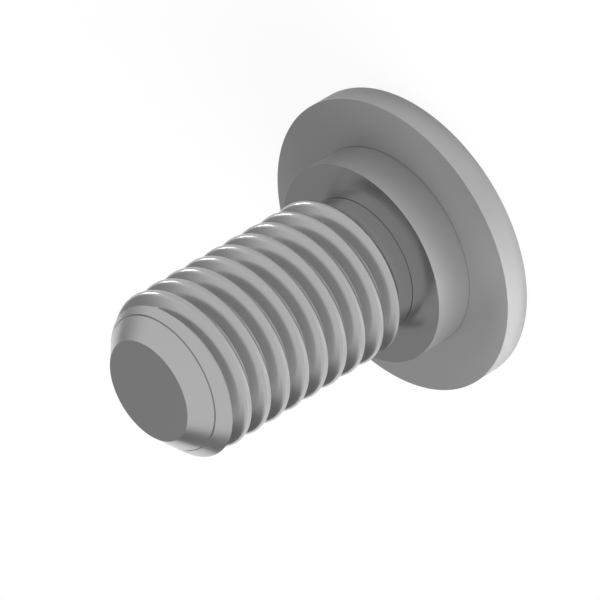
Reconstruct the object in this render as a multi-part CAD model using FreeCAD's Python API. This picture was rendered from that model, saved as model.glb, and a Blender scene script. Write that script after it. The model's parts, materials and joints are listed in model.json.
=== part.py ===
import FreeCAD, Part
import math
import os
from FreeCAD import Vector

# Flat head with its locating collar
head_diameter = 18.5
head_thickness = 1.6
head_edge_break = 0.1
collar_diameter = 12.5
collar_height = 2.5

# Metric coarse thread, right hand, one start
thread_diameter = 10.0
thread_pitch = 1.5
thread_start_below_head = 3.6
thread_phase_angle = -80.0
runout_angle = 45.0

# Shank and its lead-in point
shank_length = 19.25
point_diameter = 6.24
point_angle = 45.0

# Six-lobe drive socket, size 45
drive_outer = 7.93
drive_inner = 5.64
drive_lobe_radius = 0.574
drive_depth = 2.4
drive_floor_angle = 30.0
drive_mouth_break = 0.1
drive_mouth_angle = 30.0

# Where the turned faces are joined up, clear of the thread's two ends
seam_angle = 240.0

# Proportions of the metric 60 degree profile, as shares of the pitch
flank_angle = 30.0
fundamental_height = math.sqrt(3.0) / 2.0
thread_depth = 0.625 * fundamental_height * thread_pitch
crest_flat = thread_pitch / 8.0
ridge_root_overlap = 0.12

# Places that follow from the sizes above
root_radius = thread_diameter / 2.0 - thread_depth
collar_face_z = head_thickness + collar_height
thread_start_z = head_thickness + thread_start_below_head
tip_z = head_thickness + shank_length


def revolved(points):
    # Turns a closed outline of (radius, height) points about the screw's axis
    outline = Part.makePolygon([at_angle(r, seam_angle, z) for r, z in points + points[:1]])
    return Part.Face(outline).revolve(Vector(0, 0, 0), Vector(0, 0, 1), 360.0)


def turned_blank():
    # Head, collar, neck and the thread's plain core, up to the tip
    rim = head_diameter / 2.0
    return revolved([
        (0.0, 0.0),
        (rim - head_edge_break, 0.0),
        (rim, head_edge_break),
        (rim, head_thickness),
        (collar_diameter / 2.0, head_thickness),
        (collar_diameter / 2.0, collar_face_z),
        (root_radius, collar_face_z),
        (root_radius, tip_z),
        (0.0, tip_z),
    ])


def thread_section(radius):
    # One ridge in the plane of the axis, wider towards the core and sunk a little into it
    slope = math.tan(math.radians(flank_angle))
    base_radius = root_radius - ridge_root_overlap
    half_crest = crest_flat / 2.0
    half_base = half_crest + (radius - base_radius) * slope
    corners = [
        Vector(base_radius, 0.0, -half_base),
        Vector(radius, 0.0, -half_crest),
        Vector(radius, 0.0, half_crest),
        Vector(base_radius, 0.0, half_base),
    ]
    return Part.makePolygon(corners + corners[:1])


def helical_ridge():
    # The ridge starts a pitch before the run-out and goes on a pitch past the tip
    radius = thread_diameter / 2.0
    start_z = thread_start_z - thread_pitch
    height = tip_z + thread_pitch - start_z
    spine = Part.makeHelix(thread_pitch, height, radius)
    sweep = Part.BRepOffsetAPI.MakePipeShell(spine)
    sweep.setFrenetMode(True)
    sweep.add(thread_section(radius))
    sweep.build()
    sweep.makeSolid()
    ridge = sweep.shape()
    ridge.translate(Vector(0, 0, start_z))
    ridge.rotate(Vector(0, 0, start_z), Vector(0, 0, 1), turn_to_phase(start_z))
    return ridge


def turn_to_phase(start_z):
    # Angle that brings the ridge's crest to the phase angle at the head's underside
    turns = (start_z - head_thickness) / thread_pitch
    return thread_phase_angle + 360.0 * turns


def threaded_envelope():
    # What the run-out cone by the head leaves of the ridge
    reach = thread_diameter / 2.0 + thread_pitch
    floor = root_radius - 2.0 * ridge_root_overlap
    rise = (reach - floor) / math.tan(math.radians(runout_angle))
    low = thread_start_z - (root_radius - floor) / math.tan(math.radians(runout_angle))
    high = tip_z + 3.0 * thread_pitch
    return revolved([(0.0, low), (floor, low), (reach, low + rise), (reach, high), (0.0, high)])


def pointed_envelope():
    # Everything inside the cone that gives the shank its point
    reach = head_diameter
    drop = (reach - point_diameter / 2.0) / math.tan(math.radians(point_angle))
    return revolved([
        (0.0, -head_thickness),
        (reach, -head_thickness),
        (reach, tip_z - drop),
        (point_diameter / 2.0, tip_z),
        (0.0, tip_z),
    ])


def at_angle(radius, degrees, z=0.0):
    angle = math.radians(degrees)
    return Vector(radius * math.cos(angle), radius * math.sin(angle), z)


def six_lobe_outline():
    # Round lobes joined by tangent hollows, six times round
    lobe_centre = drive_outer / 2.0 - drive_lobe_radius
    across = math.cos(math.radians(30.0))
    hollow_radius = (
        lobe_centre ** 2 + drive_inner ** 2 / 4.0 - lobe_centre * drive_inner * across
        - drive_lobe_radius ** 2
    ) / (2.0 * drive_lobe_radius - drive_inner + 2.0 * lobe_centre * across)
    hollow_centre = drive_inner / 2.0 + hollow_radius
    share = drive_lobe_radius / (drive_lobe_radius + hollow_radius)
    edges = []
    for lobe in range(6):
        middle = 60.0 * lobe
        lobe_middle = at_angle(lobe_centre, middle)
        before = at_angle(hollow_centre, middle - 30.0)
        after = at_angle(hollow_centre, middle + 30.0)
        first = lobe_middle + (before - lobe_middle) * share
        last = lobe_middle + (after - lobe_middle) * share
        following = at_angle(lobe_centre, middle + 60.0)
        next_first = following + (after - following) * share
        edges.append(Part.Arc(first, at_angle(drive_outer / 2.0, middle), last).toShape())
        edges.append(Part.Arc(last, at_angle(drive_inner / 2.0, middle + 30.0), next_first).toShape())
    return Part.Wire(edges)


def drive_socket():
    # Straight six-lobe hole with a shallow cone for its floor and a broken mouth
    hole = Part.Face(six_lobe_outline()).extrude(Vector(0, 0, drive_depth))
    floor_radius = drive_inner / 2.0
    floor_rise = floor_radius * math.tan(math.radians(drive_floor_angle))
    floor = Part.makeCone(floor_radius, 0.0, floor_rise, Vector(0, 0, drive_depth))
    mouth_radius = drive_outer / 2.0 + drive_mouth_break
    lead = (mouth_radius - drive_inner / 2.0) * math.tan(math.radians(drive_mouth_angle))
    mouth = Part.makeCone(mouth_radius, drive_inner / 2.0, lead, Vector(0, 0, 0))
    return hole.fuse(floor).fuse(mouth)


def screw():
    ridge = helical_ridge().common(threaded_envelope()).common(pointed_envelope())
    blank = turned_blank().common(pointed_envelope()).cut(drive_socket())
    return blank.fuse(ridge)


os.makedirs("parts", exist_ok=True)
solid = screw().Solids[0]
solid.exportStep("parts/screw.step")
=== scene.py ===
import json
import math

import bmesh
import bpy
from mathutils import Matrix, Vector


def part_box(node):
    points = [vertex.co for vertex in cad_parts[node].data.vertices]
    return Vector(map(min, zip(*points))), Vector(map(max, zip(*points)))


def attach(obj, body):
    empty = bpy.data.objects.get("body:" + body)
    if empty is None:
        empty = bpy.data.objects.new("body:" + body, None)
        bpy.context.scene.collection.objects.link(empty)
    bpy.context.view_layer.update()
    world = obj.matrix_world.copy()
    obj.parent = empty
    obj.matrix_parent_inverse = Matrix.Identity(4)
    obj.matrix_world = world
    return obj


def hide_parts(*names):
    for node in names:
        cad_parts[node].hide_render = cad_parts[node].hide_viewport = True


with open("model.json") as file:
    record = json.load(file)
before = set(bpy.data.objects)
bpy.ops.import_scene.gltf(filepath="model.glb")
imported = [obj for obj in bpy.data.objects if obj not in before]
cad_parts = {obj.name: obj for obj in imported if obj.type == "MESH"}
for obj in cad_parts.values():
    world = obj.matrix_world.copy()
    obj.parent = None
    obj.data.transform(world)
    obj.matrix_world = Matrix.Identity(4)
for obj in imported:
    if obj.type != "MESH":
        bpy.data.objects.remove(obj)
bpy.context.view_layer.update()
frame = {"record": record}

MM = 0.001
TURN = 2.0 * math.pi

# Sizes that the frame gives, in millimetres
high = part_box("screw")[1]
mounts = {mount["name"]: mount for mount in frame["record"]["mounts"]}
HEAD_RADIUS = high.x / MM
TIP_Z = high.z / MM
HEAD_THICKNESS = mounts["head_seat"]["pos_m"][2] / MM
COLLAR_RADIUS = mounts["collar"]["dims"]["r_mm"]
COLLAR_FACE_Z = HEAD_THICKNESS + mounts["collar"]["dims"]["length_mm"]

# Thread: 60 degree metric profile with fuller, rounded crests, right hand, one start
THREAD_RADIUS = 5.0
PITCH = 1.5
THREAD_DEPTH = 0.625 * math.sqrt(3.0) / 2.0 * PITCH
ROOT_RADIUS = THREAD_RADIUS - THREAD_DEPTH
FLANK_ANGLE = math.radians(30.0)
CREST_ROUNDING = 0.35
THREAD_START_Z = HEAD_THICKNESS + 3.6
THREAD_PHASE = math.radians(-80.0)

# Neck and point; the shank is cut clear of the crests, and is sunk into the collar to be joined
NECK_INSET = 0.01
NECK_RADIUS = ROOT_RADIUS - NECK_INSET
POINT_RADIUS = 3.12
CREST_CLEARANCE = 0.3
SHANK_OVERLAP = 1.0

# Fine details: rounded edges, half of the point's crease, and how wide the corners' grooves are
EDGE_ROUNDING = 0.012
CREASE = 0.035
COLLAR_GROOVE = 0.02
NECK_GROOVE = 0.025

# Six-lobe drive socket, size 45, and how far its cutters reach past what they cut
LOBES = 6
DRIVE_OUTER = 7.93
DRIVE_INNER = 5.64
DRIVE_LOBE_RADIUS = 0.574
DRIVE_DEPTH = 2.4
DRIVE_FLOOR_ANGLE = math.radians(30.0)
DRIVE_MOUTH_BREAK = 0.1
DRIVE_MOUTH_ANGLE = math.radians(30.0)
CUTTER_REACH = 0.5

# How finely round things are drawn, which points are joined, and which edges stay sharp
ROUND_STEPS = 256
THREAD_STEPS = 216
SOCKET_STEPS = 128
LOBE_STEPS = 10
ROUNDING_STEPS = 6
WELD_DISTANCE = 0.0001
SHARP_ANGLE = math.radians(28.0)

# Steel: the turned head and the rolled thread, whose finish changes just below the collar's face
STEEL_COLOUR = (0.42, 0.42, 0.42, 1.0)
HEAD_ROUGHNESS = 0.4
THREAD_ROUGHNESS = 0.22
HEAD_METAL = 0.8
THREAD_METAL = 0.98
FINISH_CHANGE = 0.1

# Uneven gloss and fine grain: noise as (scale, detail), and how much each one does
GLOSS_NOISE = (350.0, 3.0)
GLOSS_SPREAD = (0.88, 1.12)
GRAIN_NOISE = (9000.0, 2.0)
GRAIN_STRENGTH = 0.04
GRAIN_DEPTH = 0.01

# Floor: how much of it is plain white to the camera and to mirrored rays; the rest shows shadows
FLOOR_HALF_WIDTH = 900.0
FLOOR_COLOUR = (0.8, 0.8, 0.8, 1.0)
FLOOR_SEEN = 0.93
FLOOR_MIRRORED = 0.25

# World: white to the camera, and dimmer as a light
WHITE = (1.0, 1.0, 1.0, 1.0)
AMBIENT = 0.45

# Grey parts that only reflections see: direction, cosines where the edge fades, and how grey
CEILING = ((0.0, 0.89, 0.456), (0.45, 0.8), 0.4)
DARK_WALL = ((-0.606, 0.776, 0.174), (0.88, 0.978), 0.48)

# The photograph's camera, and where it sees the middle of the head's shank side, in millimetres
CAMERA_TILT = math.radians(34.380)
CAMERA_SLANT = math.radians(31.026)
CAMERA_LENS = 301.64
CAMERA_SENSOR = 36.0
CAMERA_CLIP = 0.01
HEAD_IN_VIEW = Vector((5.214, 3.131, -289.55))

# Soft boxes: direction from the screw, then distance, width and height in metres, and watts
WINDOW = ((0.882, 0.469, 0.06), 0.5, 0.16, 0.03, 0.26)
FILL = ((-0.807, -0.142, 0.574), 0.6, 0.6, 0.6, 6.8)

# Small lamp above the screw: its place, the point of the floor that it lights, and its beam
SPOT_PLACE = Vector((2.0, 0.0, 60.0))
SPOT_TARGET = Vector((-10.0, -8.0, 0.0))
SPOT_WATTS = 0.3
SPOT_ANGLE = math.radians(11.0)
SPOT_BLEND = 1.0
SPOT_RADIUS = 6.0


def fillet(before, corner, after, radius):
    # Points of an arc that rounds the corner between two straight lines
    into = (before - corner).normalized()
    out = (after - corner).normalized()
    half = into.angle(out) / 2.0
    reach = radius / math.tan(half)
    centre = corner + (into + out).normalized() * (radius / math.sin(half))
    start = corner + into * reach - centre
    end = corner + out * reach - centre
    sweep = start.angle(end)
    points = []
    for step in range(ROUNDING_STEPS + 1):
        share = step / ROUNDING_STEPS
        first = math.sin((1.0 - share) * sweep) / math.sin(sweep)
        second = math.sin(share * sweep) / math.sin(sweep)
        points.append(centre + start * first + end * second)
    return points


def rounded_line(corners):
    # Follows corners, each a point of the plane and its rounding, and rounds those that ask for it
    places = [Vector((corner[0], corner[1])) for corner in corners]
    line = []
    for index, corner in enumerate(corners):
        if corner[2] > 0.0:
            line += fillet(places[index - 1], places[index], places[index + 1], corner[2])
        else:
            line.append(places[index])
    return line


def mesh_object(name, vertices, faces):
    # Object in the scene, from vertices in millimetres
    mesh = bpy.data.meshes.new(name)
    mesh.from_pydata([Vector(vertex) * MM for vertex in vertices], [], faces)
    mesh.update()
    thing = bpy.data.objects.new(name, mesh)
    bpy.context.scene.collection.objects.link(thing)
    return thing


def turned(name, corners, steps=ROUND_STEPS):
    # Closed body of revolution; its (radius, height, rounding) corners run upwards, axis to axis
    line = rounded_line(corners)
    inner = line[1:-1]
    vertices = [(0.0, 0.0, line[0].y), (0.0, 0.0, line[-1].y)]
    for step in range(steps):
        angle = TURN * step / steps
        for point in inner:
            vertices.append((point.x * math.cos(angle), point.x * math.sin(angle), point.y))
    rows = len(inner)
    faces = []
    for step in range(steps):
        here = 2 + step * rows
        there = 2 + (step + 1) % steps * rows
        faces.append((0, there, here))
        faces.append((1, here + rows - 1, there + rows - 1))
        for row in range(rows - 1):
            faces.append((here + row, there + row, there + row + 1, here + row + 1))
    return mesh_object(name, vertices, faces)


def thread_profile():
    # One pitch of the thread as (height, radius), from the middle of one root to the next
    apex = THREAD_RADIUS + CREST_ROUNDING * (1.0 / math.sin(FLANK_ANGLE) - 1.0)
    half_base = (apex - ROOT_RADIUS) * math.tan(FLANK_ANGLE)
    return rounded_line([
        (-PITCH / 2.0, ROOT_RADIUS, 0.0),
        (-half_base, ROOT_RADIUS, 0.0),
        (0.0, apex, CREST_ROUNDING),
        (half_base, ROOT_RADIUS, 0.0),
        (PITCH / 2.0, ROOT_RADIUS, 0.0),
    ])[:-1]


def threaded_bar(name, bottom, top):
    # Closed bar with the thread's full profile, whose rows climb one pitch in each turn
    profile = thread_profile()
    rows_each = len(profile)
    pitches = math.ceil((top - bottom) / PITCH) + 1
    base = bottom - PITCH
    crest_phase = (HEAD_THICKNESS - base) / PITCH - THREAD_PHASE / TURN
    base += (crest_phase - math.floor(crest_phase)) * PITCH
    heights = [base + PITCH * pitch + point.x for pitch in range(pitches) for point in profile]
    radii = [point.y for point in profile] * pitches
    rows = len(heights)
    vertices = []
    for step in range(THREAD_STEPS):
        angle = TURN * step / THREAD_STEPS
        climb = PITCH * step / THREAD_STEPS
        for height, radius in zip(heights, radii):
            vertices.append((radius * math.cos(angle), radius * math.sin(angle), height + climb))
    faces = []
    for step in range(THREAD_STEPS):
        here = step * rows
        last_step = step == THREAD_STEPS - 1
        there = 0 if last_step else here + rows
        shift = rows_each if last_step else 0
        for row in range(rows - 1 - shift):
            beside = there + row + shift
            faces.append((here + row, beside, beside + 1, here + row + 1))
    # Each end is closed by a fan round its rim and back along the pitch that the rim has climbed
    last = (THREAD_STEPS - 1) * rows
    lower_loop = list(range(0, last + 1, rows)) + list(range(rows_each, 0, -1))
    upper_loop = list(range(rows - 1, last + rows, rows))
    upper_loop += range(last + rows - 2, last + rows - 2 - rows_each, -1)
    for loop, height, flip in ((lower_loop, base, True), (upper_loop, top + 2.0 * PITCH, False)):
        centre = len(vertices)
        vertices.append((0.0, 0.0, height))
        for index, vertex in enumerate(loop):
            following = loop[(index + 1) % len(loop)]
            faces.append((centre, following, vertex) if flip else (centre, vertex, following))
    return mesh_object(name, vertices, faces)


def shank_envelope():
    # Neck, run-out cone and pointed end that the threaded bar is cut to
    reach = THREAD_RADIUS + CREST_CLEARANCE
    start = COLLAR_FACE_Z - SHANK_OVERLAP
    crease_outer = ROOT_RADIUS + CREASE
    crease_inner = ROOT_RADIUS - CREASE
    return turned("shank_envelope", [
        (0.0, start, 0.0),
        (NECK_RADIUS, start, 0.0),
        (NECK_RADIUS, THREAD_START_Z, 0.0),
        (reach, THREAD_START_Z + reach - NECK_RADIUS, 0.0),
        (reach, TIP_Z - (reach - POINT_RADIUS), 0.0),
        (crease_outer, TIP_Z - (crease_outer - POINT_RADIUS), 0.0),
        (crease_inner, TIP_Z - (crease_outer - POINT_RADIUS), 0.0),
        (crease_inner, TIP_Z - (crease_inner - POINT_RADIUS), 0.0),
        (POINT_RADIUS, TIP_Z, EDGE_ROUNDING),
        (0.0, TIP_Z, 0.0),
    ])


def head_blank():
    # Flat head and collar; each corner's groove is twice as deep as it is wide outside the shank
    collar_groove_z = HEAD_THICKNESS - 2.0 * COLLAR_GROOVE
    neck_groove_z = COLLAR_FACE_Z - 2.0 * NECK_GROOVE
    return turned("head_blank", [
        (0.0, 0.0, 0.0),
        (HEAD_RADIUS, 0.0, 2.0 * EDGE_ROUNDING),
        (HEAD_RADIUS, HEAD_THICKNESS, EDGE_ROUNDING),
        (COLLAR_RADIUS + COLLAR_GROOVE, HEAD_THICKNESS, 0.0),
        (COLLAR_RADIUS + COLLAR_GROOVE, collar_groove_z, 0.0),
        (COLLAR_RADIUS, collar_groove_z, 0.0),
        (COLLAR_RADIUS, COLLAR_FACE_Z, 0.0),
        (NECK_RADIUS + NECK_GROOVE, COLLAR_FACE_Z, 0.0),
        (NECK_RADIUS + NECK_GROOVE, neck_groove_z, 0.0),
        (NECK_RADIUS - NECK_GROOVE, neck_groove_z, 0.0),
        (NECK_RADIUS - NECK_GROOVE, COLLAR_FACE_Z, 0.0),
        (0.0, COLLAR_FACE_Z, 0.0),
    ])


def arc_points(turn, distance, radius, angles):
    # Points at the given angles on a circle, whose middle lies at that turn and distance
    middle = Vector((math.cos(turn), math.sin(turn))) * distance
    return [middle + Vector((math.cos(angle), math.sin(angle))) * radius for angle in angles]


def six_lobe_outline():
    # Round lobes and tangent hollows, all the way round
    lobe_centre = DRIVE_OUTER / 2.0 - DRIVE_LOBE_RADIUS
    half_lobe = TURN / LOBES / 2.0
    across = math.cos(half_lobe)
    hollow_radius = (
        lobe_centre ** 2 + DRIVE_INNER ** 2 / 4.0 - lobe_centre * DRIVE_INNER * across
        - DRIVE_LOBE_RADIUS ** 2
    ) / (2.0 * DRIVE_LOBE_RADIUS - DRIVE_INNER + 2.0 * lobe_centre * across)
    hollow_centre = DRIVE_INNER / 2.0 + hollow_radius
    touch = math.atan2(hollow_centre * math.sin(half_lobe), hollow_centre * across - lobe_centre)
    hollow_touch = touch - half_lobe
    shares = [2.0 * step / LOBE_STEPS - 1.0 for step in range(LOBE_STEPS + 1)]
    points = []
    for lobe in range(LOBES):
        lobe_turn = TURN * lobe / LOBES
        hollow_turn = lobe_turn + half_lobe
        lobe_angles = [lobe_turn + touch * share for share in shares]
        hollow_angles = [hollow_turn + math.pi - hollow_touch * share for share in shares[1:-1]]
        points += arc_points(lobe_turn, lobe_centre, DRIVE_LOBE_RADIUS, lobe_angles)
        points += arc_points(hollow_turn, hollow_centre, hollow_radius, hollow_angles)
    return points


def drive_hole():
    # Cutter with the six-lobe outline
    outline = six_lobe_outline()
    count = len(outline)
    ends = (-2.0 * CUTTER_REACH, DRIVE_DEPTH)
    vertices = [(point.x, point.y, end) for end in ends for point in outline]
    faces = [tuple(range(count - 1, -1, -1)), tuple(range(count, 2 * count))]
    for index in range(count):
        following = (index + 1) % count
        faces.append((index, following, count + following, count + index))
    return mesh_object("drive_hole", vertices, faces)


def drive_floor():
    # Cutter for the socket's conical floor
    radius = DRIVE_INNER / 2.0
    return turned("drive_floor", [
        (0.0, DRIVE_DEPTH - CUTTER_REACH, 0.0),
        (radius, DRIVE_DEPTH - CUTTER_REACH, 0.0),
        (radius, DRIVE_DEPTH, 0.0),
        (0.0, DRIVE_DEPTH + radius * math.tan(DRIVE_FLOOR_ANGLE), 0.0),
    ], SOCKET_STEPS)


def drive_mouth():
    # Cutter that breaks the mouth's edges
    radius = DRIVE_OUTER / 2.0 + DRIVE_MOUTH_BREAK
    slope = math.tan(DRIVE_MOUTH_ANGLE)
    lead = (radius - DRIVE_INNER / 2.0) * slope
    return turned("drive_mouth", [
        (0.0, -CUTTER_REACH, 0.0),
        (radius + CUTTER_REACH / slope, -CUTTER_REACH, 0.0),
        (DRIVE_INNER / 2.0, lead, 0.0),
        (0.0, lead, 0.0),
    ], SOCKET_STEPS)


def combine(thing, tool, operation):
    # Applies an exact boolean and removes the tool
    change = thing.modifiers.new("combine", "BOOLEAN")
    change.object = tool
    change.operation = operation
    change.solver = "EXACT"
    shaped = bpy.data.meshes.new_from_object(
        thing.evaluated_get(bpy.context.evaluated_depsgraph_get())
    )
    thing.modifiers.clear()
    thing.data = shaped
    bpy.data.objects.remove(tool)


def weld(thing):
    # Joins points closer than WELD_DISTANCE and drops the slivers that the booleans leave
    mesh = bmesh.new()
    mesh.from_mesh(thing.data)
    bmesh.ops.remove_doubles(mesh, verts=mesh.verts, dist=WELD_DISTANCE * MM)
    bmesh.ops.dissolve_degenerate(mesh, edges=mesh.edges, dist=WELD_DISTANCE * MM)
    mesh.to_mesh(thing.data)
    mesh.free()


def screw_piece():
    # The whole screw as one closed mesh; the socket is cut once the head and shank are joined
    screw = threaded_bar("star_drive_screw", COLLAR_FACE_Z - PITCH, TIP_Z + PITCH)
    combine(screw, shank_envelope(), "INTERSECT")
    combine(screw, head_blank(), "UNION")
    for tool in (drive_hole(), drive_floor(), drive_mouth()):
        combine(screw, tool, "DIFFERENCE")
    weld(screw)
    for polygon in screw.data.polygons:
        polygon.use_smooth = True
    screw.data.set_sharp_from_angle(angle=SHARP_ANGLE)
    even = screw.modifiers.new("even_normals", "WEIGHTED_NORMAL")
    even.keep_sharp = True
    return screw


def map_range(tree, value, start, end, smooth=False):
    # Turns one range of a value into another
    node = tree.nodes.new("ShaderNodeMapRange")
    if smooth:
        node.interpolation_type = "SMOOTHSTEP"
    node.inputs["From Min"].default_value, node.inputs["From Max"].default_value = start
    node.inputs["To Min"].default_value, node.inputs["To Max"].default_value = end
    tree.links.new(value, node.inputs["Value"])
    return node.outputs["Result"]


def arithmetic(tree, operation, *values):
    # Result of one operation on other nodes' outputs and plain numbers
    node = tree.nodes.new("ShaderNodeMath")
    node.operation = operation
    for socket, value in zip(node.inputs, values):
        if isinstance(value, float):
            socket.default_value = value
        else:
            tree.links.new(value, socket)
    return node.outputs[0]


def noise(tree, place, scale, detail):
    # Cloudy pattern at the given places
    node = tree.nodes.new("ShaderNodeTexNoise")
    node.inputs["Scale"].default_value = scale
    node.inputs["Detail"].default_value = detail
    tree.links.new(place, node.inputs["Vector"])
    return node.outputs["Fac"]


def mixed(tree, share, first, second):
    # Blend of two shaders, all second where the share is one
    node = tree.nodes.new("ShaderNodeMixShader")
    for socket, value in zip(node.inputs, (share, first, second)):
        tree.links.new(value, socket)
    return node.outputs[0]


def steel_material():
    # Satin steel, glossier on the shank, with faint uneven gloss and fine grain
    material = bpy.data.materials.new("satin_steel")
    material.use_nodes = True
    tree = material.node_tree
    shader = tree.nodes["Principled BSDF"]
    shader.inputs["Base Color"].default_value = STEEL_COLOUR
    place = tree.nodes.new("ShaderNodeTexCoord").outputs["Object"]
    parts = tree.nodes.new("ShaderNodeSeparateXYZ")
    tree.links.new(place, parts.inputs["Vector"])
    height = parts.outputs["Z"]
    change = ((COLLAR_FACE_Z - FINISH_CHANGE) * MM, COLLAR_FACE_Z * MM)
    metal = map_range(tree, height, change, (HEAD_METAL, THREAD_METAL))
    roughness = map_range(tree, height, change, (HEAD_ROUGHNESS, THREAD_ROUGHNESS))
    uneven = map_range(tree, noise(tree, place, *GLOSS_NOISE), (0.0, 1.0), GLOSS_SPREAD)
    relief = tree.nodes.new("ShaderNodeBump")
    relief.inputs["Strength"].default_value = GRAIN_STRENGTH
    relief.inputs["Distance"].default_value = GRAIN_DEPTH * MM
    tree.links.new(noise(tree, place, *GRAIN_NOISE), relief.inputs["Height"])
    tree.links.new(metal, shader.inputs["Metallic"])
    tree.links.new(arithmetic(tree, "MULTIPLY", roughness, uneven), shader.inputs["Roughness"])
    tree.links.new(relief.outputs["Normal"], shader.inputs["Normal"])
    return material


def floor_piece():
    # Pale floor that is nearly plain white to the camera
    half = FLOOR_HALF_WIDTH
    corners = [(-half, -half, 0.0), (half, -half, 0.0), (half, half, 0.0), (-half, half, 0.0)]
    floor = mesh_object("floor", corners, [(0, 1, 2, 3)])
    material = bpy.data.materials.new("pale_floor")
    material.use_nodes = True
    tree = material.node_tree
    tree.nodes.remove(tree.nodes["Principled BSDF"])
    paper = tree.nodes.new("ShaderNodeBsdfDiffuse")
    paper.inputs["Color"].default_value = FLOOR_COLOUR
    glow = tree.nodes.new("ShaderNodeEmission")
    glow.inputs["Strength"].default_value = 1.0
    rays = tree.nodes.new("ShaderNodeLightPath").outputs
    mirrored = arithmetic(tree, "MULTIPLY", rays["Is Glossy Ray"], FLOOR_MIRRORED)
    share = arithmetic(tree, "MULTIPLY_ADD", rays["Is Camera Ray"], FLOOR_SEEN, mirrored)
    blend = mixed(tree, share, paper.outputs[0], glow.outputs[0])
    tree.links.new(blend, tree.nodes["Material Output"].inputs["Surface"])
    floor.data.materials.append(material)


def greyer_part(tree, place, direction, edge, grey):
    # Falls from white to a grey towards one direction, with a soft edge
    node = tree.nodes.new("ShaderNodeVectorMath")
    node.operation = "DOT_PRODUCT"
    node.inputs[1].default_value = direction
    tree.links.new(place, node.inputs[0])
    return map_range(tree, node.outputs["Value"], edge, (1.0, grey), smooth=True)


def world_light():
    # White to the camera, an even light to matt surfaces, and grey parts only in reflections
    world = bpy.data.worlds.new("studio")
    bpy.context.scene.world = world
    world.use_nodes = True
    tree = world.node_tree
    ambient = tree.nodes["Background"]
    ambient.inputs["Color"].default_value = WHITE
    ambient.inputs["Strength"].default_value = AMBIENT
    white = tree.nodes.new("ShaderNodeBackground")
    white.inputs["Color"].default_value = WHITE
    mirrored = tree.nodes.new("ShaderNodeBackground")
    place = tree.nodes.new("ShaderNodeTexCoord").outputs["Generated"]
    ceiling = greyer_part(tree, place, *CEILING)
    wall = greyer_part(tree, place, *DARK_WALL)
    tree.links.new(arithmetic(tree, "MULTIPLY", ceiling, wall), mirrored.inputs["Color"])
    rays = tree.nodes.new("ShaderNodeLightPath").outputs
    lighting = mixed(tree, rays["Is Glossy Ray"], ambient.outputs[0], mirrored.outputs[0])
    blend = mixed(tree, rays["Is Camera Ray"], lighting, white.outputs[0])
    tree.links.new(blend, tree.nodes["World Output"].inputs["Surface"])


def camera_axes():
    # Columns are the camera's right, up and backward directions in the screw's frame
    along = Vector((
        math.cos(CAMERA_TILT) * math.cos(CAMERA_SLANT),
        math.cos(CAMERA_TILT) * math.sin(CAMERA_SLANT),
        -math.sin(CAMERA_TILT),
    ))
    side = Vector((math.sin(CAMERA_SLANT), -math.cos(CAMERA_SLANT), 0.0))
    return Matrix((-side, along.cross(side), -along))


def add_camera():
    # The photograph's view
    axes = camera_axes()
    seat = Vector((0.0, 0.0, HEAD_THICKNESS))
    place = (seat - axes @ HEAD_IN_VIEW) * MM
    lens = bpy.data.cameras.new("camera")
    lens.lens = CAMERA_LENS
    lens.sensor_width = CAMERA_SENSOR
    lens.clip_start = CAMERA_CLIP
    camera = bpy.data.objects.new("camera", lens)
    camera.matrix_world = Matrix.Translation(place) @ axes.to_4x4()
    bpy.context.scene.collection.objects.link(camera)
    bpy.context.scene.camera = camera


def hang_lamp(light, place, back):
    # Lamp at a place in metres, with its back turned to the given direction
    lamp = bpy.data.objects.new(light.name, light)
    lamp.location = place
    lamp.rotation_euler = back.to_track_quat("Z", "Y").to_euler()
    bpy.context.scene.collection.objects.link(lamp)
    return lamp


def soft_box(name, direction, distance, width, height, watts):
    # Rectangular lamp in the given direction from the screw, turned to face it
    direction = Vector(direction).normalized()
    centre = Vector((0.0, 0.0, TIP_Z / 2.0)) * MM
    light = bpy.data.lights.new(name, "AREA")
    light.shape = "RECTANGLE"
    light.size = width
    light.size_y = height
    light.energy = watts
    return hang_lamp(light, centre + direction * distance, direction)


def floor_spot():
    # Lamp with a narrow beam to the floor beside the head, which the head's rim then mirrors
    light = bpy.data.lights.new("floor_spot", "SPOT")
    light.energy = SPOT_WATTS
    light.spot_size = SPOT_ANGLE
    light.spot_blend = SPOT_BLEND
    light.shadow_soft_size = SPOT_RADIUS * MM
    return hang_lamp(light, SPOT_PLACE * MM, SPOT_PLACE - SPOT_TARGET)


steel = steel_material()
screw = screw_piece()
screw.data.materials.clear()
screw.data.materials.append(steel)
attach(screw, "root")
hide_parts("screw")
floor_piece()
world_light()
add_camera()

# Of the lamps, only the window shows in reflections
soft_box("window", *WINDOW)
for lamp in (soft_box("fill", *FILL), floor_spot()):
    lamp.visible_glossy = False
bpy.context.scene.view_settings.view_transform = "Standard"
